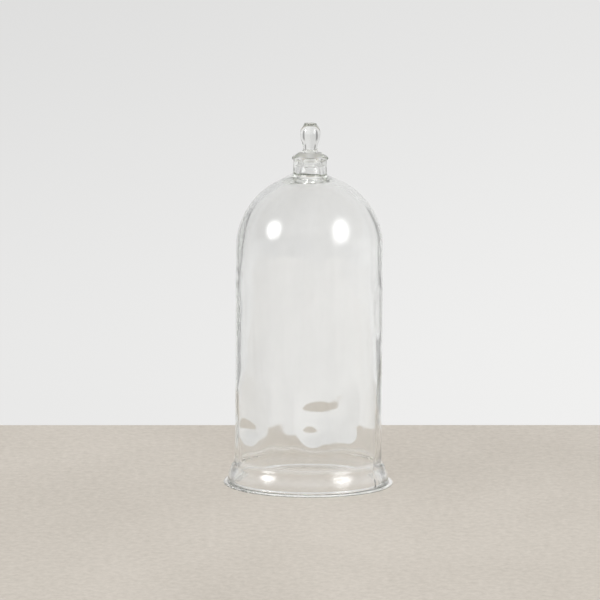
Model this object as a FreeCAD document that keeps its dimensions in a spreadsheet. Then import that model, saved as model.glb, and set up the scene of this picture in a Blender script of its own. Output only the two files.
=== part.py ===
import FreeCAD, Part
import math
import os
import Sketcher

# Laboratory bell jar: a hand-blown glass bell with a necked, lipped mouth, and
# a solid glass stopper ground into it.  Millimetres, +Z up, origin at the
# centre of the ground rim the bell stands on.

doc = FreeCAD.newDocument("bell_jar")

# ---------------------------------------------------------------- dimensions
dims = doc.addObject("Spreadsheet::Sheet", "Dims")

SIZES = [
    # bell: straight side and domed crown
    ("body_radius", "83.0", "outside of the straight side"),
    ("wall", "6.2", "glass thickness of the side"),
    ("shoulder_z", "269.3", "top of the straight side, start of the dome"),
    ("crown_extra", "0.8", "extra glass at the top of the dome"),
    ("cone_r", "37.0", "where the round dome turns into a cone up to the neck"),
    # bell: foot
    ("flange_radius", "95.6", "thin ground flange the jar stands on"),
    ("flange_thick", "2.0", "thickness of the flange"),
    ("flange_round", "0.5", "rounded edges of the flange"),
    ("flange_step_r", "90.9", "where the flange top meets the moulding"),
    ("tuck_radius", "89.4", "groove under the bead"),
    ("tuck_z", "3.4", "height of the groove under the bead"),
    ("tuck_curve", "2.2", "hollow radius of the groove"),
    ("bead_radius", "90.35", "widest part of the bead"),
    ("bead_z", "7.4", "height of the widest part of the bead"),
    ("bead_under", "3.2", "round radius under the bead"),
    ("bead_curve", "34.0", "slow round of the bead, above its widest part"),
    ("cove_foot_r", "85.9", "lower end of the cove"),
    ("cove_foot_z", "21.4", "height of the lower end of the cove"),
    ("cove_top_z", "29.0", "height where the cove runs into the side"),
    ("cove_curve", "12.0", "hollow radius of the cove"),
    ("foot_join_z", "44.0", "height where the moulded foot meets the blown side"),
    ("flare_top_z", "27.5", "inside starts to flare towards the foot"),
    ("flare_mid_r", "79.05", "inside behind the cove"),
    ("flare_mid_z", "18.5", "height of that inside radius"),
    ("flare_curve", "19.2", "round curve where the inside starts to flare"),
    ("flare_sweep", "44.0", "hollow curve of the flare behind the bead"),
    ("flare_foot_r", "84.0", "inside behind the bead"),
    ("flare_foot_z", "2.0", "height of that inside radius"),
    ("rim_round", "1.9", "inside curve down to the ground face"),
    ("ground_face_r", "85.6", "inner edge of the ground face"),
    # bell: neck and lip
    ("neck_radius", "19.0", "outside of the neck"),
    ("neck_root_z", "348.5", "neck starts inside the glass of the crown"),
    ("neck_fillet", "1.2", "hollow between neck and dome"),
    ("lip_under_z", "367.0", "underside of the lip at the neck"),
    ("lip_low_r", "19.6", "lower end of the rolled lip edge"),
    ("lip_low_z", "368.6", "height of the lower end of the lip edge"),
    ("lip_high_z", "372.2", "height of the upper end of the lip edge"),
    ("lip_curve", "2.25", "round radius of the lip edge"),
    ("lip_hollow", "2.4", "hollow radius under the lip"),
    ("lip_slope_r", "13.2", "top end of the sloping lip face"),
    ("lip_slope_z", "376.2", "height of the top end of the sloping face"),
    ("lip_brow_r", "11.2", "edge of the flat top of the lip"),
    ("lip_brow", "3.2", "round radius from slope to flat top"),
    ("mouth_z", "376.8", "flat top of the lip"),
    # bell: bore of the neck
    ("seat_foot_r", "7.8", "small end of the ground taper seat"),
    ("seat_foot_z", "366.8", "height of the small end of the seat"),
    ("seat_slope", "0.12", "growth of the seat radius per mm of height"),
    ("seat_length", "10.0", "length of the ground taper seat"),
    ("mouth_over", "1.2", "cutter height above the mouth"),
    ("throat_r", "10.8", "bore just below the seat"),
    ("throat_z", "362.9", "height of the bore just below the seat"),
    ("throat_curve", "3.4", "round radius from seat to throat"),
    ("gullet_r", "12.4", "bore at the root of the neck"),
    ("gullet_z", "355.5", "height of the root of the neck"),
    ("crown_hole_r", "13.2", "hole through the glass of the crown"),
    ("crown_hole_z", "338.0", "cutter end, in the hollow of the bell"),
    ("crown_hole_round", "3.0", "round edge from bore to hollow"),
    ("mouth_round", "0.5", "broken edge of the mouth"),
    # stopper
    ("fit_gap", "0.05", "gap all round in the ground seat"),
    ("overall_height", "410.0", "ground rim to flat top of the knob"),
    ("cap_radius", "6.7", "flat top of the knob"),
    ("cap_low_r", "7.9", "lower edge of the cut round the flat top"),
    ("cap_low_z", "407.0", "height of that lower edge"),
    ("knob_radius", "11.65", "widest part of the knob"),
    ("knob_z", "397.4", "height of the widest part"),
    ("knob_round", "14.2", "round radius above the widest part"),
    ("knob_flank_r", "9.9", "middle of the flank of the knob"),
    ("knob_flank_z", "389.3", "height of the middle of the flank"),
    ("knob_flank", "19.9", "round radius of the flank, both ways"),
    ("waist_radius", "8.15", "waist under the knob"),
    ("waist_z", "381.2", "height of the waist"),
    ("waist_curve", "6.7", "hollow radius from waist to collar"),
    ("collar_radius", "9.25", "collar above the ground plug"),
    ("collar_z", "377.9", "height of the collar"),
    ("plug_foot_z", "367.1", "flat bottom of the ground plug"),
    ("plug_round", "0.7", "rounded bottom edge of the plug"),
]

# sizes worked out from the ones above
WORKED_OUT = [
    ("inner_radius", "=body_radius - wall"),
    ("inner_shoulder_z", "=shoulder_z - crown_extra"),
    ("cone_z", "=shoulder_z + sqrt(body_radius ^ 2 - cone_r ^ 2)"),
    ("cone_tip_z", "=cone_z + cone_r ^ 2 / (cone_z - shoulder_z)"),
    ("crown_inner_z", "=inner_shoulder_z + inner_radius"),
    ("seat_cut_z", "=mouth_z + mouth_over"),
    ("seat_cut_r", "=seat_foot_r + (seat_cut_z - seat_foot_z) * seat_slope"),
    ("plug_top_z", "=seat_foot_z + seat_length"),
    ("plug_top_r", "=seat_foot_r + seat_length * seat_slope - fit_gap"),
    ("plug_foot_r", "=seat_foot_r + (plug_foot_z - seat_foot_z) * seat_slope - fit_gap"),
]

row = 1
for alias, size, meaning in SIZES:
    dims.set("A%d" % row, alias)
    dims.set("B%d" % row, size)
    dims.set("C%d" % row, meaning)
    dims.setAlias("B%d" % row, alias)
    row += 1
for alias, formula in WORKED_OUT:
    dims.set("A%d" % row, alias)
    dims.set("B%d" % row, formula)
    dims.setAlias("B%d" % row, alias)
    row += 1
doc.recompute()


def size_of(alias):
    """Value of a named dimension, in millimetres."""
    return float(dims.get(alias))


# ------------------------------------------------------------------- helpers
def new_body(node):
    """A sub-part of the jar, named after what it is."""
    body = doc.addObject("PartDesign::Body", node)
    body.Label = node
    body.Placement = FreeCAD.Placement()
    return body


def turning_plane(body):
    """The body's own upright XZ plane."""
    for feature in body.Origin.OriginFeatures:
        if feature.Role == "XZ_Plane":
            return feature
    raise RuntimeError("no XZ plane in " + body.Label)


def point_of(corner):
    """Sketch point of a corner given by the names of its radius and height."""
    radius, height = corner[0], corner[1]
    x = 0.0 if radius == "axis" else size_of(radius)
    y = 0.0 if height == "ground" else size_of(height)
    return FreeCAD.Vector(x, y, 0)


def arc_centre(start, end, radius, left):
    """Centre of the shorter arc from start to end, left or right of the way."""
    chord = end - start
    middle = (start + end) * 0.5
    rise = math.sqrt(max(radius * radius - 0.25 * chord.Length ** 2, 0.0))
    side = FreeCAD.Vector(-chord.y, chord.x, 0).normalize()
    if not left:
        side = side * -1.0
    return middle + side * rise


def turned_sketch(body, name, corners):
    """Closed half-section in the XZ plane, every corner held by dimensions.

    A corner is (radius, height, edge) or (radius, height, edge, arc radius);
    edge is "line", "left" (arc centred left of the way) or "right".
    """
    sketch = body.newObject("Sketcher::SketchObject", name)
    sketch.AttachmentSupport = [(turning_plane(body), "")]
    sketch.MapMode = "FlatFace"
    count = len(corners)
    ends = []
    for i in range(count):
        start = point_of(corners[i])
        end = point_of(corners[(i + 1) % count])
        edge = corners[i][2]
        if edge == "line":
            geo = sketch.addGeometry(Part.LineSegment(start, end), False)
            ends.append((geo, 1, 2))
            continue
        radius = size_of(corners[i][3])
        centre = arc_centre(start, end, radius, edge == "left")
        first, last = (start, end) if edge == "left" else (end, start)
        angle_1 = math.atan2(first.y - centre.y, first.x - centre.x)
        angle_2 = math.atan2(last.y - centre.y, last.x - centre.x)
        if angle_2 < angle_1:
            angle_2 += 2.0 * math.pi
        circle = Part.Circle(centre, FreeCAD.Vector(0, 0, 1), radius)
        geo = sketch.addGeometry(Part.ArcOfCircle(circle, angle_1, angle_2), False)
        ends.append((geo, 1, 2) if edge == "left" else (geo, 2, 1))
    for i in range(count):
        here = ends[i]
        after = ends[(i + 1) % count]
        sketch.addConstraint(
            Sketcher.Constraint("Coincident", here[0], here[2], after[0], after[1]))
    for i in range(count):
        geo, pos = ends[i][0], ends[i][1]
        radius, height = corners[i][0], corners[i][1]
        if radius == "axis":
            sketch.addConstraint(Sketcher.Constraint("PointOnObject", geo, pos, -2))
        else:
            hold(sketch, "DistanceX", geo, pos, radius, "r%d" % i)
        if height == "ground":
            sketch.addConstraint(Sketcher.Constraint("PointOnObject", geo, pos, -1))
        else:
            hold(sketch, "DistanceY", geo, pos, height, "z%d" % i)
        if corners[i][2] != "line":
            tag = "curve%d" % i
            number = sketch.addConstraint(
                Sketcher.Constraint("Radius", geo, size_of(corners[i][3])))
            sketch.renameConstraint(number, tag)
            sketch.setExpression("Constraints." + tag, "Dims." + corners[i][3])
    return sketch


def hold(sketch, kind, geo, pos, alias, tag):
    """Distance of a point from the origin, driven by the spreadsheet."""
    number = sketch.addConstraint(
        Sketcher.Constraint(kind, -1, 1, geo, pos, size_of(alias)))
    sketch.renameConstraint(number, tag)
    sketch.setExpression("Constraints." + tag, "Dims." + alias)


def turn(body, kind, name, sketch):
    """Full turn of a half-section about the upright axis."""
    feature = body.newObject("PartDesign::" + kind, name)
    feature.Profile = sketch
    feature.ReferenceAxis = (sketch, ["V_Axis"])
    feature.Angle = 360.0
    sketch.Visibility = False
    doc.recompute()
    return feature


def round_edge(body, name, base, radius, height, size_alias):
    """Fillet the level circular edge nearest to the given radius and height."""
    best = None
    best_gap = 1.0e9
    for number, edge in enumerate(base.Shape.Edges, 1):
        curve = edge.Curve
        if not isinstance(curve, Part.Circle):
            continue
        if abs(abs(curve.Axis.z) - 1.0) > 1.0e-6:
            continue
        gap = math.hypot(curve.Radius - radius, curve.Center.z - height)
        if gap < best_gap:
            best_gap = gap
            best = "Edge%d" % number
    feature = body.newObject("PartDesign::Fillet", name)
    feature.Base = (base, [best])
    feature.setExpression("Radius", "Dims." + size_alias)
    doc.recompute()
    return feature


def height_on_dome(radius, dome_radius, centre_z):
    """Height at which a dome is cut by an upright cylinder."""
    return centre_z + math.sqrt(dome_radius ** 2 - radius ** 2)


# ---------------------------------------------------------------------- bell
bell = new_body("bell")

wall_section = turned_sketch(bell, "WallSection", [
    ("body_radius", "foot_join_z", "line"),
    ("body_radius", "shoulder_z", "left", "body_radius"),
    ("cone_r", "cone_z", "line"),
    ("axis", "cone_tip_z", "line"),
    ("axis", "crown_inner_z", "right", "inner_radius"),
    ("inner_radius", "inner_shoulder_z", "line"),
    ("inner_radius", "foot_join_z", "line"),
])
glass_wall = turn(bell, "Revolution", "BlownWall", wall_section)

foot_section = turned_sketch(bell, "FootSection", [
    ("ground_face_r", "ground", "line"),
    ("flange_radius", "ground", "line"),
    ("flange_radius", "flange_thick", "line"),
    ("flange_step_r", "flange_thick", "right", "tuck_curve"),
    ("tuck_radius", "tuck_z", "left", "bead_under"),
    ("bead_radius", "bead_z", "left", "bead_curve"),
    ("cove_foot_r", "cove_foot_z", "right", "cove_curve"),
    ("body_radius", "cove_top_z", "line"),
    ("body_radius", "foot_join_z", "line"),
    ("inner_radius", "foot_join_z", "line"),
    ("inner_radius", "flare_top_z", "left", "flare_curve"),
    ("flare_mid_r", "flare_mid_z", "right", "flare_sweep"),
    ("flare_foot_r", "flare_foot_z", "left", "rim_round"),
])
foot = turn(bell, "Revolution", "MouldedFoot", foot_section)

neck_section = turned_sketch(bell, "NeckSection", [
    ("axis", "neck_root_z", "line"),
    ("neck_radius", "neck_root_z", "line"),
    ("neck_radius", "lip_under_z", "right", "lip_hollow"),
    ("lip_low_r", "lip_low_z", "left", "lip_curve"),
    ("lip_low_r", "lip_high_z", "line"),
    ("lip_slope_r", "lip_slope_z", "left", "lip_brow"),
    ("lip_brow_r", "mouth_z", "line"),
    ("axis", "mouth_z", "line"),
])
neck = turn(bell, "Revolution", "NeckAndLip", neck_section)

bore_section = turned_sketch(bell, "BoreSection", [
    ("axis", "crown_hole_z", "line"),
    ("crown_hole_r", "crown_hole_z", "line"),
    ("gullet_r", "gullet_z", "line"),
    ("throat_r", "throat_z", "left", "throat_curve"),
    ("seat_foot_r", "seat_foot_z", "line"),
    ("seat_cut_r", "seat_cut_z", "line"),
    ("axis", "seat_cut_z", "line"),
])
bore = turn(bell, "Groove", "StopperBore", bore_section)

neck_radius = size_of("neck_radius")
neck_foot_z = size_of("cone_tip_z")
neck_foot_z -= neck_radius * size_of("cone_r") / (size_of("cone_z") - size_of("shoulder_z"))
neck_hollow = round_edge(bell, "NeckHollow", bore, neck_radius, neck_foot_z, "neck_fillet")

hole_radius = size_of("crown_hole_r")
hole_z = height_on_dome(hole_radius, size_of("inner_radius"), size_of("inner_shoulder_z"))
hole_round = round_edge(bell, "CrownHoleRound", neck_hollow, hole_radius, hole_z,
                        "crown_hole_round")

flange_top = round_edge(bell, "FlangeTopRound", hole_round, size_of("flange_radius"),
                        size_of("flange_thick"), "flange_round")
flange_foot = round_edge(bell, "FlangeFootRound", flange_top, size_of("flange_radius"), 0.0,
                         "flange_round")

mouth_radius = size_of("seat_foot_r")
mouth_radius += (size_of("mouth_z") - size_of("seat_foot_z")) * size_of("seat_slope")
mouth_round = round_edge(bell, "MouthRound", flange_foot, mouth_radius, size_of("mouth_z"),
                         "mouth_round")

# ------------------------------------------------------------------- stopper
stopper = new_body("stopper")

stopper_section = turned_sketch(stopper, "StopperSection", [
    ("axis", "plug_foot_z", "line"),
    ("plug_foot_r", "plug_foot_z", "line"),
    ("plug_top_r", "plug_top_z", "line"),
    ("collar_radius", "collar_z", "right", "waist_curve"),
    ("waist_radius", "waist_z", "right", "knob_flank"),
    ("knob_flank_r", "knob_flank_z", "left", "knob_flank"),
    ("knob_radius", "knob_z", "left", "knob_round"),
    ("cap_low_r", "cap_low_z", "line"),
    ("cap_radius", "overall_height", "line"),
    ("axis", "overall_height", "line"),
])
knob = turn(stopper, "Revolution", "KnobAndPlug", stopper_section)
plug_round = round_edge(stopper, "PlugRound", knob, size_of("plug_foot_r"),
                        size_of("plug_foot_z"), "plug_round")

# ------------------------------------------------------------ check and write
doc.recompute()
for thing in doc.Objects:
    if "Invalid" in thing.State or "Error" in thing.State:
        raise RuntimeError("failed feature: " + thing.Name)

os.makedirs("parts", exist_ok=True)
for body in (bell, stopper):
    shape = body.Shape
    if shape.isNull() or not shape.isValid():
        raise RuntimeError("bad shape: " + body.Label)
    if len(shape.Solids) != 1:
        raise RuntimeError("not one solid: " + body.Label)
    shape.exportStep("parts/" + body.Label + ".step")
    box = shape.optimalBoundingBox(False, False)
    print("%-8s volume %9.0f mm3  z %.2f to %.2f  r %.2f"
          % (body.Label, shape.Volume, box.ZMin, box.ZMax, box.XMax))
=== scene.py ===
import math

import bmesh
import bpy
from mathutils import Matrix, Quaternion, Vector, noise


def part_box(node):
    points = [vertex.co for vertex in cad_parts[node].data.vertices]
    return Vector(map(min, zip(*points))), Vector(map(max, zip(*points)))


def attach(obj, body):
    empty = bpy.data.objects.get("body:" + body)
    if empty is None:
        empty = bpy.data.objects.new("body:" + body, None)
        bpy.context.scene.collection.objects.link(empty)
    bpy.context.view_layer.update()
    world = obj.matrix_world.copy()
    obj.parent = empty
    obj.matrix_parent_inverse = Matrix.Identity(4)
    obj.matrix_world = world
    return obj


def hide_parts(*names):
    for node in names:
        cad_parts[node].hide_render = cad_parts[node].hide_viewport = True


# Looks of a hand-blown laboratory bell jar with its solid glass stopper, built
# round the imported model.  Metres in the scene; the glass is drawn in millimetres.

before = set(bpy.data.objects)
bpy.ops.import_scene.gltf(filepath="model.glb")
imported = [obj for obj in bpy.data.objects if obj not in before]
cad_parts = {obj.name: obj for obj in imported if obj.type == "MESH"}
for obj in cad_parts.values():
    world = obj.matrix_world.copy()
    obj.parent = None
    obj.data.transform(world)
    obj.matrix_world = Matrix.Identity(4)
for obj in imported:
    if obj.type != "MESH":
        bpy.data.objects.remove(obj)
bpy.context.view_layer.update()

MM = 0.001
bell_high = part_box("bell")[1]
plug_low, knob_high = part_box("stopper")

# ------------------------------------------------------- sizes of the jar, mm
FLANGE_R = bell_high.x / MM
MOUTH_Z = bell_high.z / MM
KNOB_TOP_Z = knob_high.z / MM
KNOB_R = knob_high.x / MM
PLUG_FOOT_Z = plug_low.z / MM

BODY_R = 83.0
WALL = 6.2
INNER_R = BODY_R - WALL
MIDDLE_OF_WALL = BODY_R - WALL / 2
SHOULDER_Z = 269.3
HOLLOW_SHOULDER_Z = 268.5
CONE_R = 37.0               # where the round dome becomes a cone
NECK_R = 19.0
BORE_R = 13.2
HOLLOW_TURN = 3.0           # rounding between the throat and the hollow

# A stroke's end is its radius and height; a round stroke adds the radius of its curve.
# Foot outside, from the ground face up
GROUND_FACE_R = 85.6
FLANGE_THICK = 2.0
FLANGE_ROUND = 0.5
TUCK_START_R = 90.9
TUCK = (89.4, 3.4, 2.2)
BEAD = (90.35, 7.4, 3.2)
COVE = (85.9, 21.4, 34.0)
FOOT_TOP = (BODY_R, 29.0, 12.0)

# Neck and lip outside; the corner is where the neck meets the cone
NECK_CORNER = 1.0
NECK_CORNER_RISE = 0.7
NECK_CORNER_CURVE = 1.2
LIP_START_Z = 366.4
LIP_UNDERSIDE = (19.6, 368.6, 2.4)
LIP_EDGE = (19.6, 372.2, 2.25)
LIP_SLOPE = (13.2, 376.2)
MOUTH_EDGE = (11.2, MOUTH_Z, 3.2)

# Seat and throat inside, from the mouth down
SEAT_CORNER_R = 9.5
SEAT_CORNER = (9.0, MOUTH_Z - 0.5, 0.5)
SEAT_FOOT = (7.8, 366.8)
THROAT_TOP = (10.8, 362.9, 3.4)
THROAT_MIDDLE = (12.4, 355.5)
THROAT_FOOT = (12.9, 349.0)

# Flare of the hollow inside the foot, down to the ground face
FLARE_TOP_Z = 27.5
FLARE = (79.05, 18.5, 19.2)
FLARE_FOOT = (84.0, 2.0, 44.0)
GROUND_RIM = (GROUND_FACE_R, 0.0, 1.9)

# Stopper, from the plug up
PLUG_FOOT_R = 7.1
PLUG_CORNER = (7.86, PLUG_FOOT_Z + 0.7, 0.75)
PLUG_TOP = (8.95, 376.8)
COLLAR = (9.25, 377.9)
WAIST = (8.15, 381.2, 6.7)
UNDER_KNOB = (9.9, 389.3, 19.9)
KNOB = (KNOB_R, 397.4, 19.9)
KNOB_SHOULDER = (7.9, 407.0, 14.2)
TOP_CHAMFER = (6.7, KNOB_TOP_Z - 0.25)
FLAT_TOP_R = 6.3

COLUMNS = 300               # upright columns of faces round the bell
STOPPER_COLUMNS = 128
WELD = 0.004 * MM           # points closer than this are one


# --------------------------------------------------------- outline and turning
class Outline:
    """A half-section drawn with straight and round strokes, radius against height."""

    def __init__(self, radius, height):
        self.mesh = bmesh.new()
        self.first = self.mesh.verts.new((radius * MM, 0, height * MM))
        self.tip = self.first

    def line(self, radius, height, parts=1):
        """A straight stroke, in one or more equal parts."""
        step = (Vector((radius * MM, 0, height * MM)) - self.tip.co) / parts
        for _ in range(parts):
            made = bmesh.ops.extrude_vert_indiv(self.mesh, verts=[self.tip])["verts"]
            bmesh.ops.translate(self.mesh, verts=made, vec=step)
            self.tip = made[0]
        return self

    def arc(self, radius, height, curve, parts, hollow=False):
        """A round stroke; it turns to the left of its way, or right if hollow."""
        here = self.tip.co.copy()
        chord = Vector((radius * MM, 0, height * MM)) - here
        half = chord.length / 2
        reach = math.sqrt(max((curve * MM) ** 2 - half ** 2, 0.0))
        side = Vector((-chord.z, 0, chord.x)).normalized()
        turn = 2 * math.asin(min(half / (curve * MM), 1.0))
        if hollow:
            side = -side
            turn = -turn
        centre = here + chord / 2 + side * reach
        made = bmesh.ops.spin(self.mesh, geom=[self.tip], cent=centre, axis=(0, -1, 0),
                              angle=turn, steps=parts)
        self.tip = next(p for p in made["geom_last"] if isinstance(p, bmesh.types.BMVert))
        return self

    def close(self):
        """Joins the end of the outline to its start."""
        self.mesh.edges.new((self.tip, self.first))
        return self

    def turned(self, columns):
        """The outline turned once round the upright axis, as a closed skin."""
        mesh = self.mesh
        bmesh.ops.spin(mesh, geom=mesh.verts[:] + mesh.edges[:], cent=(0, 0, 0),
                       axis=(0, 0, 1), angle=math.tau, steps=columns, use_merge=True)
        bmesh.ops.remove_doubles(mesh, verts=mesh.verts[:], dist=WELD)
        bmesh.ops.recalc_face_normals(mesh, faces=mesh.faces[:])
        return mesh


def bell_outline():
    """Foot, side, dome, neck and lip outside; seat, throat, hollow and flare inside."""
    section = Outline(GROUND_FACE_R, 0.0)
    flat_r = FLANGE_R - FLANGE_ROUND
    section.line(flat_r, 0.0, 3).arc(FLANGE_R, FLANGE_ROUND, FLANGE_ROUND, 3)
    section.line(FLANGE_R, FLANGE_THICK - FLANGE_ROUND, 2)
    section.arc(flat_r, FLANGE_THICK, FLANGE_ROUND, 3)
    section.line(TUCK_START_R, FLANGE_THICK, 3).arc(*TUCK, 5, hollow=True)
    section.arc(*BEAD, 7).arc(*COVE, 10).arc(*FOOT_TOP, 9, hollow=True)
    section.line(BODY_R, SHOULDER_Z, 30)
    cone_z = SHOULDER_Z + math.sqrt(BODY_R ** 2 - CONE_R ** 2)
    section.arc(CONE_R, cone_z, BODY_R, 26)
    fall = CONE_R / (cone_z - SHOULDER_Z)
    neck_foot_z = cone_z + (CONE_R - NECK_R) * fall
    section.line(NECK_R + NECK_CORNER, neck_foot_z - NECK_CORNER * fall, 6)
    section.arc(NECK_R, neck_foot_z + NECK_CORNER_RISE, NECK_CORNER_CURVE, 4, hollow=True)
    section.line(NECK_R, LIP_START_Z, 6).arc(*LIP_UNDERSIDE, 4, hollow=True)
    section.arc(*LIP_EDGE, 9).line(*LIP_SLOPE, 3).arc(*MOUTH_EDGE, 4)
    section.line(SEAT_CORNER_R, MOUTH_Z).arc(*SEAT_CORNER, 3)
    section.line(*SEAT_FOOT, 4).arc(*THROAT_TOP, 7)
    section.line(*THROAT_MIDDLE, 3).line(*THROAT_FOOT, 2)
    rounded_r = (BORE_R + HOLLOW_TURN) * INNER_R / (INNER_R + HOLLOW_TURN)
    rounded_z = HOLLOW_SHOULDER_Z + math.sqrt(INNER_R ** 2 - rounded_r ** 2)
    section.arc(rounded_r, rounded_z, HOLLOW_TURN, 9)
    section.arc(INNER_R, HOLLOW_SHOULDER_Z, INNER_R, 34, hollow=True)
    section.line(INNER_R, FLARE_TOP_Z, 58).arc(*FLARE, 6).arc(*FLARE_FOOT, 8, hollow=True)
    section.arc(*GROUND_RIM, 4)
    return section.close()


def stopper_outline():
    """Ground plug, collar, waist, pear-shaped knob and its flat top."""
    section = Outline(0.0, PLUG_FOOT_Z)
    section.line(PLUG_FOOT_R, PLUG_FOOT_Z, 3).arc(*PLUG_CORNER, 4)
    section.line(*PLUG_TOP, 5).line(*COLLAR, 2)
    section.arc(*WAIST, 8, hollow=True).arc(*UNDER_KNOB, 8, hollow=True)
    section.arc(*KNOB, 9).arc(*KNOB_SHOULDER, 14)
    section.line(*TOP_CHAMFER, 2).line(FLAT_TOP_R, KNOB_TOP_Z).line(0.0, KNOB_TOP_Z, 3)
    return section


# ------------------------------------------------------------- hand-made glass
# All depths, heights and widths here are in mm and all azimuths in degrees.

def azimuth_of(spot):
    """Angle round the jar in degrees, 0 at the front and growing to the right."""
    return math.degrees(math.atan2(spot.x, -spot.y))


def radius_and_height_of(spot):
    """Distance from the upright axis and height of a spot, in mm."""
    return math.hypot(spot.x, spot.y) / MM, spot.z / MM


def fading(value, low, high, way_in, way_out):
    """Rises from 0 at the low limit to 1, and falls back to 0 at the high limit."""
    return min((value - low) / way_in, (high - value) / way_out, 1.0)


def press_in(v, radius, depth):
    """Moves a point of the skin towards the axis."""
    v.co.x -= v.co.x / radius * depth
    v.co.y -= v.co.y / radius * depth


# where the columns of faces stand closer together: azimuth, spread, and share taken
CROWDED = [(-74.0, 22.0, 0.62), (62.0, 7.0, 0.72)]


def crowded(azimuth):
    """An azimuth moved so that the columns crowd at the chipped rim and at the fold."""
    def drawn(a):
        for middle, spread, share in CROWDED:
            a -= share * spread * math.sqrt(math.pi) / 2 * math.erf((a - middle) / spread)
        return a
    low = drawn(-180.0)
    return -180.0 + 360.0 * (drawn(azimuth) - low) / (drawn(180.0) - low)


def crowd_columns(mesh):
    """Slides every column of the bell round the axis to its crowded place."""
    for v in mesh.verts:
        azimuth = azimuth_of(v.co)
        moved = math.radians(crowded(azimuth) - azimuth)
        v.co = Matrix.Rotation(moved, 3, "Z") @ v.co


def swell(offset):
    """A round swelling, 1 in the middle and 0 from an offset of 1 outwards."""
    return (1.0 - offset) ** 2 if offset < 1.0 else 0.0


# thick and thin places of the blown wall: azimuth, height, half width, half height
# and extra glass
LUMPS = [
    (8.0, 90.0, 44.0, 50.0, 2.6),
    (9.5, 92.0, 30.0, 15.0, 0.78),
    (2.5, 67.0, 15.0, 14.0, 0.90),
    (-22.0, 88.0, 16.0, 50.0, 1.1),
    (-54.0, 88.0, 40.0, 50.0, 3.7),
    (-61.0, 66.0, 26.0, 14.0, 1.10),
    (33.0, 95.0, 22.0, 44.0, 2.4),
    (40.0, 66.0, 16.0, 18.0, 0.7),
    (-90.0, 78.0, 26.0, 48.0, 1.6),
    (-92.0, 196.0, 30.0, 40.0, 0.9),
    (-90.0, 237.0, 18.0, 14.0, -1.4),
    (-88.0, 280.0, 40.0, 40.0, 1.2),
    (90.0, 112.0, 26.0, 42.0, 1.7),
    (88.0, 198.0, 30.0, 44.0, -1.6),
    (92.0, 262.0, 30.0, 30.0, 0.6),
    (160.0, 60.0, 40.0, 45.0, 1.2),
    (-140.0, 110.0, 45.0, 60.0, -1.2),
    (130.0, 180.0, 50.0, 70.0, 1.0),
]

# waves of the inner skin: depth, and how fast they come across and upwards
INNER_WAVES = [(0.55, 17.0, 17.0), (0.16, 60.0, 14.0), (0.10, 40.0, 85.0)]

# heights between which a skin is uneven, with the way in and the way out
INNER_UNEVEN = (24.0, 346.0, 28.0, 30.0)
OUTER_UNEVEN = (30.0, 345.0, 20.0, 20.0)
OUTER_SHRINK = 0.14
OUTER_WAVE = 0.28
OUTER_WAVE_RATE = 21.0
OUTER_WAVE_START = Vector((3.0, 1.0, 7.0))


def extra_glass(spot):
    """Glass thickness that the blowing added or took at a spot of the hollow."""
    azimuth = azimuth_of(spot)
    height = spot.z / MM
    thick = 0.0
    for middle, level, half_width, half_height, extra in LUMPS:
        round_way = (azimuth - middle + 180.0) % 360.0 - 180.0
        across = math.radians(round_way) * INNER_R / half_width
        thick += extra * swell(across ** 2 + ((height - level) / half_height) ** 2)
    for depth, across, upwards in INNER_WAVES:
        thick += depth * noise.noise(Vector((spot.x * across, spot.y * across, spot.z * upwards)))
    return thick


def in_hollow(spot):
    """True for a spot on the inner skin of the side and the dome."""
    radius, height = radius_and_height_of(spot)
    if not INNER_UNEVEN[0] <= height <= INNER_UNEVEN[1]:
        return False
    if height < HOLLOW_SHOULDER_Z:
        return radius < MIDDLE_OF_WALL
    return math.hypot(radius, height - HOLLOW_SHOULDER_Z) < MIDDLE_OF_WALL


def blow_wall(mesh):
    """Thick and thin places inside, and a slight unevenness outside."""
    for v in mesh.verts:
        out = Vector((v.co.x, v.co.y, max(v.co.z - SHOULDER_Z * MM, 0.0)))
        if out.length == 0.0:
            continue
        out.normalize()
        height = v.co.z / MM
        if in_hollow(v.co):
            v.co -= out * extra_glass(v.co) * fading(height, *INNER_UNEVEN) * MM
        elif OUTER_UNEVEN[0] < height < OUTER_UNEVEN[1]:
            wave = noise.noise(v.co * OUTER_WAVE_RATE + OUTER_WAVE_START)
            depth = OUTER_SHRINK + OUTER_WAVE * wave
            v.co -= out * depth * fading(height, *OUTER_UNEVEN) * MM


# chips of the flange: azimuths between which they lie, with the way in and the way
# out, the radius that they reach in to, and the height that they reach up to
CHIPPED = (-118.0, -38.0, 14.0, 9.0)
CHIPS_IN_TO_R = 91.5
CHIPS_UP_TO = 2.1
BIG_CHIP = 1.5
BIG_CHIP_RATE = 0.66
EDGE_WEAR = 0.30            # taken off the edge all along the chipped part
SMALL_CHIP_RATE = 1.80
CHIP_AT_MIDDLE = 1.15       # how much of a chip shows half way up the edge
CHIP_LOST = 0.35            # and how much less per mm above and below
DEEPEST_CHIP = 1.6
CHIP_SLOPE = 0.40           # how far a chip lowers the top of the edge, to its depth


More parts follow.
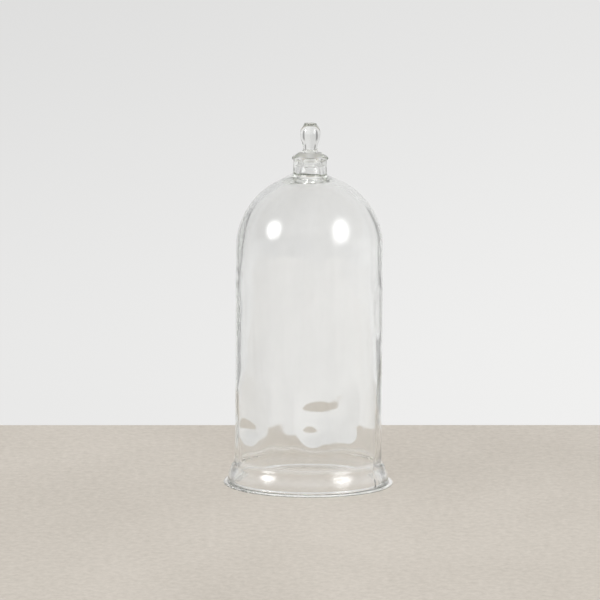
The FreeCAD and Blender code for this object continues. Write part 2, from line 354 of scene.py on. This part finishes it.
def chip_rim(mesh):
    """Shell-shaped chips along the edge of the flange, left of the front."""
    for v in mesh.verts:
        radius, height = radius_and_height_of(v.co)
        azimuth = azimuth_of(v.co)
        if radius < CHIPS_IN_TO_R or height > CHIPS_UP_TO:
            continue
        if not CHIPPED[0] < azimuth < CHIPPED[1]:
            continue
        big = noise.noise(Vector((azimuth * BIG_CHIP_RATE, 4.0, 0.5)))
        small = noise.noise(Vector((azimuth * SMALL_CHIP_RATE, 9.0, 2.0)))
        bite = max(0.0, big * BIG_CHIP + EDGE_WEAR) + max(0.0, small)
        off_middle = abs(height - FLANGE_THICK / 2)
        bite *= fading(azimuth, *CHIPPED) * (CHIP_AT_MIDDLE - CHIP_LOST * off_middle)
        edge = (radius - CHIPS_IN_TO_R) / (FLANGE_R - CHIPS_IN_TO_R)
        press_in(v, radius, bite * edge ** 2)
        if height > FLANGE_THICK / 2:
            v.co.z -= min(bite, DEEPEST_CHIP) * CHIP_SLOPE * edge ** 1.5 * MM


# the fold of the foot: its azimuth, how high it runs, how far it shows left and right
FOLD_AZIMUTH = 60.0
FOLD_LOW = 2.2
FOLD_HIGH = 44.0
FOLD_LEFT = -12.0
FOLD_RIGHT = 40.0
FOLD_SKIN_R = BODY_R - 0.8      # the outer skin is no further in than this
FOLD_WANDERS = [(1.6, 0.27, 0.0), (0.9, 0.71, 1.0)]     # degrees, turn per mm, start
# its grooves: place across, width, depth and lowest height
FOLD_GROOVES = [(0.0, 0.8, 0.6, None), (-3.4, 0.7, 0.35, 18.0), (-5.6, 0.6, 0.22, 18.0)]
GROOVE_FADE = 8.0
LEDGE = 0.45                # step down to the right of the fold
LEDGE_EDGE = 0.5
LEDGE_REACH = 9.0
LEDGE_FADE = 14.0


def fold_seam(mesh):
    """The lap where the moulded foot closed, a narrow wandering groove on the right."""
    for v in mesh.verts:
        radius, height = radius_and_height_of(v.co)
        if radius < FOLD_SKIN_R or not FOLD_LOW <= height <= FOLD_HIGH or in_hollow(v.co):
            continue
        wander = FOLD_AZIMUTH
        for reach, rate, start in FOLD_WANDERS:
            wander += reach * math.sin(height * rate + start)
        across = (azimuth_of(v.co) - wander) * math.radians(1) * radius
        if not FOLD_LEFT < across < FOLD_RIGHT:
            continue
        below_top = FOLD_HIGH - height
        depth = 0.0
        for place, width, deep, lowest in FOLD_GROOVES:
            fade = min(1.0, below_top / GROOVE_FADE)
            if lowest is not None:
                fade *= min(1.0, max(0.0, (height - lowest) / GROOVE_FADE))
            depth += deep * fade * math.exp(-((across - place) / width) ** 2)
        ledge = LEDGE / (1.0 + math.exp(-across / LEDGE_EDGE))
        ledge *= math.exp(-max(across, 0.0) / LEDGE_REACH)
        depth += ledge * min(1.0, below_top / LEDGE_FADE)
        press_in(v, radius, depth)


# the root of the neck: lowest and highest height, and what belongs to its outside
ROOT_LOW = 345.0
ROOT_HIGH = 366.0
ROOT_OUTER_R = 17.5
SLUMP = 0.9
ROOT_SHRINK = 0.15
ROOT_RIPPLE = 0.22
ROOT_RIPPLE_RATE = 160.0


def slump_neck(mesh):
    """The neck sits a little askew on the dome, as it was stuck on by hand."""
    for v in mesh.verts:
        radius, height = radius_and_height_of(v.co)
        if ROOT_LOW < height < ROOT_HIGH and radius > ROOT_OUTER_R:
            fade = math.sin(math.pi * (height - ROOT_LOW) / (ROOT_HIGH - ROOT_LOW))
            lean = v.co.x / (NECK_R * MM)
            v.co.z -= SLUMP * lean * fade * MM
            ripple = ROOT_RIPPLE * noise.noise(v.co * ROOT_RIPPLE_RATE) * fade
            press_in(v, radius, ROOT_SHRINK + ripple)


# small bubbles caught in the wall: how many, and their place by even turns
BUBBLES = 46
GOLDEN_TURN = 137.508
GOLDEN_SHARE = 0.618034
LOWEST_BUBBLE = 52.0
BUBBLE_RANGE = 210.0
BUBBLE_R = MIDDLE_OF_WALL + 0.8
BUBBLE_SIZE = 0.16
BUBBLE_SIZE_SPREAD = 0.20
BUBBLE_TALL = 1.3
BUBBLE_TALL_SPREAD = 1.6


def catch_bubbles(mesh):
    """Seeds: small closed hollows, drawn out upwards, inside the thickness of the wall."""
    for number in range(BUBBLES):
        azimuth = math.radians(number * GOLDEN_TURN)
        chance = abs(noise.noise(Vector((number * 0.77, 3.1, 0.4))))
        height = LOWEST_BUBBLE + BUBBLE_RANGE * ((number * GOLDEN_SHARE) % 1.0)
        size = BUBBLE_SIZE + BUBBLE_SIZE_SPREAD * chance
        tall = BUBBLE_TALL + BUBBLE_TALL_SPREAD * chance
        made = bmesh.ops.create_icosphere(mesh, subdivisions=1, radius=size * MM)["verts"]
        bmesh.ops.scale(mesh, verts=made, vec=(1.0, 1.0, tall))
        place = Vector((BUBBLE_R * math.sin(azimuth), -BUBBLE_R * math.cos(azimuth), height))
        bmesh.ops.translate(mesh, verts=made, vec=place * MM)
        skin = {face for v in made for face in v.link_faces}
        bmesh.ops.reverse_faces(mesh, faces=list(skin))


# the stopper's knob and waist: heights between which they are uneven, and how much
KNOB_UNEVEN = (379.0, 406.0)
KNOB_SHRINK = 0.10
KNOB_WAVE = 0.22
KNOB_WAVE_RATE = 90.0


def pinch_knob(mesh):
    """Slight unevenness of the knob and the waist, as they were shaped by hand."""
    for v in mesh.verts:
        out = Vector((v.co.x, v.co.y, 0.0))
        if KNOB_UNEVEN[0] * MM < v.co.z < KNOB_UNEVEN[1] * MM and out.length > 0.0:
            depth = KNOB_SHRINK + KNOB_WAVE * noise.noise(v.co * KNOB_WAVE_RATE)
            v.co -= out.normalized() * depth * MM


def finished(mesh, name, material, smooth=True):
    """An object at the origin from a finished mesh."""
    for face in mesh.faces:
        face.smooth = smooth
    data = bpy.data.meshes.new(name)
    mesh.to_mesh(data)
    mesh.free()
    data.materials.append(material)
    piece = bpy.data.objects.new(name, data)
    bpy.context.scene.collection.objects.link(piece)
    return piece


# ------------------------------------------------------------------- materials
class Recipe:
    """The nodes of a material or of the room, put together step by step."""

    def __init__(self, owner, coordinates="Object"):
        owner.use_nodes = True
        self.tree = owner.node_tree
        self.place = self.add("ShaderNodeTexCoord").outputs[coordinates]

    def split_place(self):
        """To the right, backwards and up, as three values."""
        split = self.add("ShaderNodeSeparateXYZ")
        self.join(self.place, split.inputs[0])
        return split.outputs

    def measure(self):
        """Sets x, radius and height: place to the right, from the axis and up, in metres."""
        self.x, y, self.height = self.split_place()
        squares = self.math("ADD", self.times(self.x, self.x), self.times(y, y))
        self.radius = self.math("SQRT", squares)

    def add(self, kind, **settings):
        node = self.tree.nodes.new(kind)
        for key, value in settings.items():
            setattr(node, key, value)
        return node

    def join(self, start, end):
        self.tree.links.new(start, end)

    def math(self, operation, first, second=0.0):
        node = self.add("ShaderNodeMath", operation=operation)
        for socket, value in zip(node.inputs, (first, second)):
            if isinstance(value, (int, float)):
                socket.default_value = value
            else:
                self.join(value, socket)
        return node.outputs[0]

    def times(self, first, second):
        return self.math("MULTIPLY", first, second)

    def larger(self, first, second):
        return self.math("MAXIMUM", first, second)

    def rest_of(self, value):
        """What is left of 1 without a value."""
        return self.math("SUBTRACT", 1.0, value)

    def above(self, value, low):
        """1 where a value is more than a limit, else 0."""
        return self.math("GREATER_THAN", value, low)

    def below(self, value, high):
        """1 where a value is less than a limit, else 0."""
        return self.math("LESS_THAN", value, high)

    def between(self, value, low, high):
        """1 where a value lies between two limits, else 0."""
        return self.times(self.above(value, low), self.below(value, high))

    def noise(self, scale, stretch=(1, 1, 1), detail=3.0, rough=0.5):
        """Cloudy pattern on object coordinates, stretched along the axes."""
        mapping = self.add("ShaderNodeMapping")
        mapping.inputs["Scale"].default_value = stretch
        self.join(self.place, mapping.inputs["Vector"])
        cloud = self.add("ShaderNodeTexNoise")
        cloud.inputs["Scale"].default_value = scale
        cloud.inputs["Detail"].default_value = detail
        cloud.inputs["Roughness"].default_value = rough
        self.join(mapping.outputs[0], cloud.inputs["Vector"])
        return cloud.outputs[0]

    def ramp(self, value, low, high):
        """A colour that changes along a value; low and high are (position, colour)."""
        node = self.add("ShaderNodeValToRGB")
        for element, (position, colour) in zip(node.color_ramp.elements, (low, high)):
            element.position = position
            element.color = (*colour, 1.0)
        self.join(value, node.inputs[0])
        return node.outputs[0]

    def remap(self, value, low, high, to_low, to_high, way="LINEAR"):
        """A value from low to high made one from to_low to to_high, and no further."""
        node = self.add("ShaderNodeMapRange", interpolation_type=way)
        for key, number in (("From Min", low), ("From Max", high),
                            ("To Min", to_low), ("To Max", to_high)):
            node.inputs[key].default_value = number
        self.join(value, node.inputs["Value"])
        return node.outputs[0]

    def smooth(self, *settings):
        """As remap, but it starts and ends softly."""
        return self.remap(*settings, way="SMOOTHSTEP")


GLASS_IOR = 1.5
GLASS_TINT = (0.46, 0.54, 0.43, 1.0)
TINT_DENSITY = 4.8
CLEAREST = (1.0, 1.0, 1.0)
DULLEST = (0.985, 0.985, 0.985)
# grey of painted shade: a contact shadow line under the flange, the dark sides of the lip and the
# cut round the knob's top
PAINTED_SHADE = (0.30, 0.31, 0.26, 1.0)
MATT_ROUGHNESS = 0.22
DRAW_MARK_STRENGTH = 0.05
DRAW_MARK_DEPTH = 0.0004
# how a pattern acts: from and to in the pattern, and what they are made
SHELLS = (0.47, 0.53, 0.0, 1.0)
WORN = (0.35, 0.65, 0.40, 0.68)
WIPED = (0.42, 0.75, 0.0, 0.50)
SMEARED = (0.50, 0.78, 0.0, 0.45)
FILM_STARTS, FILM_FULL = 0.45, 0.80
THINNEST_FILM = 0.4         # share of the full film
CRISP = 0.25                # share of the film from the neck upwards
SATIN_LIP = 1.5             # roughness of the lip, to that of the ground faces
# share of painted shade on the left and right slopes of the lip
LIP_SIDE_SHADE = 0.30
# share of painted shade on the cut round the knob's top
CUT_SHADE = 0.75
# sockets of the colour mixer
MIX_SHARE, MIX_FIRST, MIX_SECOND, MIX_RESULT = 0, 6, 7, 2

# places on the glass, in metres
NECK_ROOT = (0.344, 0.352)              # heights over which the gloss gets crisper
CHIPPED_TO_X = (-0.066, -0.050)         # the frosted edge is broken to the left of this
# two pale bands of painted sheen round the foot, where the cove and the bead reflect the ceiling
SHEEN_BANDS = [(0.0275, 0.0045, 3.0), (0.0130, 0.0070, 1.6)]    # height, half height, share
GROUND_FACE_HIGH = 0.05 * MM
SEAT_R = 9.3 * MM
SEAT_HEIGHTS = (366.9 * MM, 376.2 * MM)
# the flange's edge: worn frosting that is also a painted highlight
WORN_LIT_EDGE_R = 91.8 * MM
WORN_LIT_EDGE_HEIGHTS = (0.8 * MM, 2.9 * MM)
LIP_FACE_R = 19.2 * MM
LIP_FACE_HEIGHTS = (372.6 * MM, 376.9 * MM)
LIP_SIDES_X = (8.0 * MM, 15.0 * MM)
# painted contact shadow: a thin grey line round the foot of the flange
CONTACT_SHADOW_R = (FLANGE_R - 0.7) * MM
CONTACT_SHADOW_HIGH = 0.6 * MM
PLUG_R = 7.5 * MM
PLUG_HEIGHTS = (367.6 * MM, 376.6 * MM)
TOP_CUT_HEIGHTS = (406.9 * MM, 409.8 * MM)


def glass_colour(recipe, painted_shade_faces):
    """Colourless, a little duller in clouds, and darkened by painted shade on the faces that
    carry it.
    """
    cloud = recipe.noise(26.0, (1.0, 1.0, 0.35), detail=4.0)
    shaded_mix = recipe.add("ShaderNodeMix", data_type="RGBA")
    shaded_mix.inputs[MIX_SECOND].default_value = PAINTED_SHADE
    recipe.join(painted_shade_faces, shaded_mix.inputs[MIX_SHARE])
    recipe.join(recipe.ramp(cloud, (0.30, CLEAREST), (0.75, DULLEST)), shaded_mix.inputs[MIX_FIRST])
    return shaded_mix.outputs[MIX_RESULT]


def glass_roughness(recipe, matt_faces, haze):
    """Glossy with a cloudy film, crisper from the neck upwards, and matt where ground."""
    film = recipe.noise(70.0, (1.0, 1.0, 0.22), detail=5.0, rough=0.6)
    filmed = recipe.remap(film, FILM_STARTS, FILM_FULL, haze * THINNEST_FILM, haze)
    crisp = recipe.remap(recipe.height, *NECK_ROOT, 1.0, CRISP)
    matt = recipe.times(matt_faces, MATT_ROUGHNESS)
    return recipe.larger(recipe.times(filmed, crisp), matt)


def glass_frost_and_highlight(recipe, worn_and_lit_edge):
    """White frosting of the worn edge, which also stands in as a painted highlight along the
    flange, broken up where the edge is chipped.
    """
    worn = recipe.remap(recipe.noise(90.0), *WORN)
    shells = recipe.remap(recipe.noise(420.0, detail=2.0), *SHELLS)
    chipped = recipe.remap(recipe.x, *CHIPPED_TO_X, 1.0, 0.0)
    kept = recipe.rest_of(recipe.times(chipped, shells))
    return recipe.times(recipe.times(worn_and_lit_edge, worn), kept)


def glass_bloom_and_sheen(recipe, haze):
    """Whitish wipe marks and smears, and two bands of painted sheen round the moulded foot."""
    wiped = recipe.remap(recipe.noise(40.0, (1.0, 1.0, 0.07)), *WIPED)
    smeared = recipe.remap(recipe.noise(24.0, (1.0, 1.0, 0.6), detail=4.0), *SMEARED)
    bloom_and_sheen = recipe.math("ADD", wiped, smeared)
    # painted sheen: whitish bands round the foot
    for middle, half, share in SHEEN_BANDS:
        away = recipe.math("ABSOLUTE", recipe.math("SUBTRACT", recipe.height, middle))
        bloom_and_sheen = recipe.math("ADD", bloom_and_sheen, recipe.remap(away, 0.0, half, share, 0.0))
    return recipe.times(bloom_and_sheen, haze)


def old_glass(name, ground, haze):
    """Clear soda glass, faintly grey-green, with wipe marks.

    ground(recipe) gives the matt faces, the worn edge with its painted highlight and the faces
    with painted shade; haze is how strong the film, the wipe marks and the bands of painted sheen
    are.
    """
    material = bpy.data.materials.new(name)
    recipe = Recipe(material)
    recipe.measure()
    shader = recipe.tree.nodes["Principled BSDF"]
    matt_faces, worn_and_lit_edge, painted_shade_faces = ground(recipe)
    shader.inputs["IOR"].default_value = GLASS_IOR
    recipe.join(glass_colour(recipe, painted_shade_faces), shader.inputs["Base Color"])
    recipe.join(glass_roughness(recipe, matt_faces, haze), shader.inputs["Roughness"])
    unfrosted = recipe.rest_of(glass_frost_and_highlight(recipe, worn_and_lit_edge))
    clear = recipe.math("SUBTRACT", unfrosted, glass_bloom_and_sheen(recipe, haze))
    recipe.join(clear, shader.inputs["Transmission Weight"])
    bump = recipe.add("ShaderNodeBump")
    bump.inputs["Strength"].default_value = DRAW_MARK_STRENGTH
    bump.inputs["Distance"].default_value = DRAW_MARK_DEPTH
    recipe.join(recipe.noise(420.0, (1.0, 1.0, 0.04), detail=2.0), bump.inputs["Height"])
    recipe.join(bump.outputs[0], shader.inputs["Normal"])
    tint = recipe.add("ShaderNodeVolumeAbsorption")
    tint.inputs["Color"].default_value = GLASS_TINT
    tint.inputs["Density"].default_value = TINT_DENSITY
    recipe.join(tint.outputs[0], recipe.tree.nodes["Material Output"].inputs["Volume"])
    return material


def ground_parts_of_bell(recipe):
    """Matt: ground rim, ground seat and satin lip; worn, with a painted highlight: the flange's
    edge; painted shade: a contact shadow line under the flange and the left and right slopes of
    the lip."""
    radius = recipe.radius
    height = recipe.height
    rim = recipe.below(height, GROUND_FACE_HIGH)
    seat = recipe.times(recipe.below(radius, SEAT_R), recipe.between(height, *SEAT_HEIGHTS))
    # worn frosting of the flange's edge, which also paints its cream highlight
    edge = recipe.times(recipe.above(radius, WORN_LIT_EDGE_R),
                        recipe.between(height, *WORN_LIT_EDGE_HEIGHTS))
    lip_face = recipe.times(recipe.below(radius, LIP_FACE_R),
                            recipe.between(height, *LIP_FACE_HEIGHTS))
    matt = recipe.larger(recipe.larger(rim, seat), recipe.times(lip_face, SATIN_LIP))
    # painted shade: the lip's slopes turn grey towards the left and right, where the glass looks
    # dark at its edges
    sides = recipe.remap(recipe.math("ABSOLUTE", recipe.x), *LIP_SIDES_X, 0.0, 1.0)
    shaded_lip_sides = recipe.times(recipe.times(lip_face, sides), LIP_SIDE_SHADE)
    # painted contact shadow: grey round the bottom of the flange, where it meets the table
    contact_shadow_line = recipe.times(recipe.above(radius, CONTACT_SHADOW_R),
                             recipe.below(height, CONTACT_SHADOW_HIGH))
    return matt, edge, recipe.larger(contact_shadow_line, shaded_lip_sides)


def ground_parts_of_stopper(recipe):
    """Matt: the ground taper of the plug and the cut round the top, which also carries painted
    shade.
    """
    side = recipe.above(recipe.radius, PLUG_R)
    plug = recipe.times(side, recipe.between(recipe.height, *PLUG_HEIGHTS))
    cut = recipe.between(recipe.height, *TOP_CUT_HEIGHTS)
    return recipe.larger(plug, cut), 0.0, recipe.times(cut, CUT_SHADE)


# ---------------------------------------------------------------- build pieces
BELL_HAZE = 0.09
STOPPER_HAZE = 0.055


def build_bell():
    mesh = bell_outline().turned(COLUMNS)
    for work in (crowd_columns, blow_wall, chip_rim, fold_seam, slump_neck, catch_bubbles):
        work(mesh)
    glass = old_glass("blown glass of the bell", ground_parts_of_bell, BELL_HAZE)
    return finished(mesh, "blown_bell", glass)


def build_stopper():
    mesh = stopper_outline().turned(STOPPER_COLUMNS)
    pinch_knob(mesh)
    glass = old_glass("solid glass of the stopper", ground_parts_of_stopper, STOPPER_HAZE)
    return finished(mesh, "ground_stopper", glass)


bell = build_bell()
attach(bell, "bell_body")
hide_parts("bell")

stopper = build_stopper()
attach(stopper, "stopper_body")
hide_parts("stopper")


# ---------------------------------------------------------------- camera, metres
CAMERA_AWAY = 7.0
LOOK_DOWN = math.radians(10.3)      # from the lens to the middle of the ground rim
TILT = math.radians(8.635)
LEAN = math.radians(0.38)           # the jar and its table lean a little clockwise
LENS = 376.9
SENSOR = 36.0
SIDE_SHIFT = -0.0153
FARTHEST = 100.0


def set_camera():
    data = bpy.data.cameras.new("camera")
    data.sensor_width = SENSOR
    data.lens = LENS
    data.shift_x = SIDE_SHIFT
    data.clip_end = FARTHEST
    camera = bpy.data.objects.new("camera", data)
    camera.location = (0.0, -CAMERA_AWAY, CAMERA_AWAY * math.tan(LOOK_DOWN))
    camera.rotation_mode = "QUATERNION"
    level = Quaternion((1, 0, 0), math.pi / 2 - TILT)
    camera.rotation_quaternion = level @ Quaternion((0, 0, 1), LEAN)
    bpy.context.scene.collection.objects.link(camera)
    bpy.context.scene.camera = camera


# -------------------------------------------------------------- table and light
TABLE_WIDE = 3.4
TABLE_DEEP = 2.4
TABLE_THICK = 0.030
TABLE_BACK = 0.386
TABLE_TURN = math.radians(2.3)
TABLE_GAP = 0.3 * MM                # between the ground face and the table
TABLE_BEVEL = 0.8 * MM
TABLE_ROUGHNESS = 0.85
TABLE_GLOSS = 0.2
DARK_STONE = (0.474, 0.434, 0.383)
PALE_STONE = (0.642, 0.596, 0.537)
CLOUD_SHARE = 0.45
GRAIN_SHARE = 0.55


def stone_table():
    """Pale matt slab; its back edge is a little out of square with the jar."""
    mesh = bmesh.new()
    bmesh.ops.create_cube(mesh, size=1.0)
    bmesh.ops.scale(mesh, verts=mesh.verts[:], vec=(TABLE_WIDE, TABLE_DEEP, TABLE_THICK))
    middle = (0.0, TABLE_BACK - TABLE_DEEP / 2, -TABLE_THICK / 2 - TABLE_GAP)
    bmesh.ops.translate(mesh, verts=mesh.verts[:], vec=middle)
    bmesh.ops.bevel(mesh, geom=mesh.edges[:], affect="EDGES", offset=TABLE_BEVEL, segments=2,
                    profile=0.5, material=-1)
    bmesh.ops.rotate(mesh, verts=mesh.verts[:], cent=(0.0, TABLE_BACK, 0.0),
                     matrix=Matrix.Rotation(TABLE_TURN, 3, "Z"))
    stone = bpy.data.materials.new("pale stone table")
    recipe = Recipe(stone)
    shader = recipe.tree.nodes["Principled BSDF"]
    cloud = recipe.noise(3.2, (1.0, 0.5, 1.0), detail=4.0)
    grain = recipe.noise(260.0, (0.5, 0.35, 1.0), rough=0.7)
    blend = recipe.math("ADD", recipe.times(cloud, CLOUD_SHARE), recipe.times(grain, GRAIN_SHARE))
    colour = recipe.ramp(blend, (0.30, DARK_STONE), (0.70, PALE_STONE))
    recipe.join(colour, shader.inputs["Base Color"])
    shader.inputs["Roughness"].default_value = TABLE_ROUGHNESS
    shader.inputs["Specular IOR Level"].default_value = TABLE_GLOSS
    slab = finished(mesh, "table", stone, smooth=False)


# How bright the room is, by the way one looks: where a change starts and ends, and
# what it goes from and to.  First by sideways over backwards, for the dim strips.
STRIP_STARTS = (0.41, 0.50, 1.0, 0.40)
STRIP_ENDS = (0.62, 0.82, 0.0, 0.60)
# by height
STRIP_FOOT = (-0.50, -0.28, 0.0, 1.0)
STRIP_HEAD = (0.10, 0.34, 1.0, 0.0)
LOW_GLOW = (-0.165, -0.085, 1.055, 0.94)
TO_CEILING = (0.25, 0.6, 0.0, 1.0)
# by backwards, and by sideways
FRONT_TO_BACK = (-0.5, 0.35, 0.50, 1.0)
LEFT_TO_RIGHT = (-0.12, 0.12, 0.94, 1.06)
CEILING = 0.95
ROOM_BRIGHTNESS = 0.80
ROOM_COLOUR = (1.0, 0.998, 0.991, 1.0)
STRAIGHT_ASIDE = 0.001      # keeps the division whole where one looks straight aside


def room():
    """Pale room: light wall behind the table, dim strips beside it, a dimmer room in front."""
    world = bpy.data.worlds.new("room")
    bpy.context.scene.world = world
    recipe = Recipe(world, "Generated")
    x, y, z = recipe.split_place()
    backwards = recipe.math("ADD", recipe.math("ABSOLUTE", y), STRAIGHT_ASIDE)
    aside = recipe.math("DIVIDE", recipe.math("ABSOLUTE", x), backwards)
    beside_strips = recipe.math("ADD", recipe.smooth(aside, *STRIP_STARTS),
                                recipe.smooth(aside, *STRIP_ENDS))
    level = recipe.times(recipe.smooth(z, *STRIP_FOOT), recipe.smooth(z, *STRIP_HEAD))
    strips = recipe.rest_of(recipe.times(recipe.rest_of(beside_strips), level))
    glow = recipe.times(recipe.smooth(x, *LEFT_TO_RIGHT), recipe.smooth(z, *LOW_GLOW))
    wall = recipe.times(glow, recipe.times(strips, recipe.smooth(y, *FRONT_TO_BACK)))
    overhead = recipe.smooth(z, *TO_CEILING)
    bright = recipe.math("ADD", recipe.times(wall, recipe.rest_of(overhead)),
                         recipe.times(overhead, CEILING))
    background = recipe.tree.nodes["Background"]
    background.inputs["Color"].default_value = ROOM_COLOUR
    recipe.join(recipe.times(bright, ROOM_BRIGHTNESS), background.inputs["Strength"])


LAMP_AIM = Vector((0.0, 0.0, 0.27))
LAMP_RISE = math.radians(28.0)
LAMP_AWAY = 6.0
# a lamp's discs from back to front: share of the power, then how their size falls
DISC_SHARES = (0.04, 0.06, 0.10, 0.20, 0.28, 0.32)
WIDEST_DISC = 1.42
DISC_STEP = 0.15
DISC_GAP = 0.01


def soft_lamp(name, azimuth, size, tall, lean, power):
    """A diffused oval lamp: discs one in front of another, hotter to the middle."""
    turn = math.radians(azimuth)
    level = math.cos(LAMP_RISE)
    away = Vector((math.sin(turn) * level, -math.cos(turn) * level, math.sin(LAMP_RISE)))
    for number, share in enumerate(DISC_SHARES):
        wide = WIDEST_DISC - DISC_STEP * number
        data = bpy.data.lights.new("%s %d" % (name, number), "AREA")
        data.shape = "ELLIPSE"
        data.size = size * wide
        data.size_y = size * tall * wide
        data.energy = power * share
        lamp = bpy.data.objects.new(data.name, data)
        lamp.location = LAMP_AIM + away * (LAMP_AWAY - DISC_GAP * number)
        facing = (-away).to_track_quat("-Z", "Y") @ Quaternion((0, 0, 1), math.radians(lean))
        lamp.rotation_euler = facing.to_euler()
        bpy.context.scene.collection.objects.link(lamp)


set_camera()
stone_table()
room()
soft_lamp("left lamp", azimuth=-68.5, size=2.9, tall=1.0, lean=0.0, power=115.0)
soft_lamp("right lamp", azimuth=58.0, size=3.7, tall=1.30, lean=-38.0, power=165.0)
bpy.context.scene.view_settings.view_transform = "Standard"

# light has to pass many layers of glass, and the glass casts no hard dark shadow
GLASS_BOUNCES = 40
light_paths = bpy.context.scene.cycles
light_paths.max_bounces = GLASS_BOUNCES
light_paths.transmission_bounces = GLASS_BOUNCES
light_paths.glossy_bounces = GLASS_BOUNCES
for piece in (bell, stopper):
    piece.visible_shadow = False
    piece.visible_diffuse = False
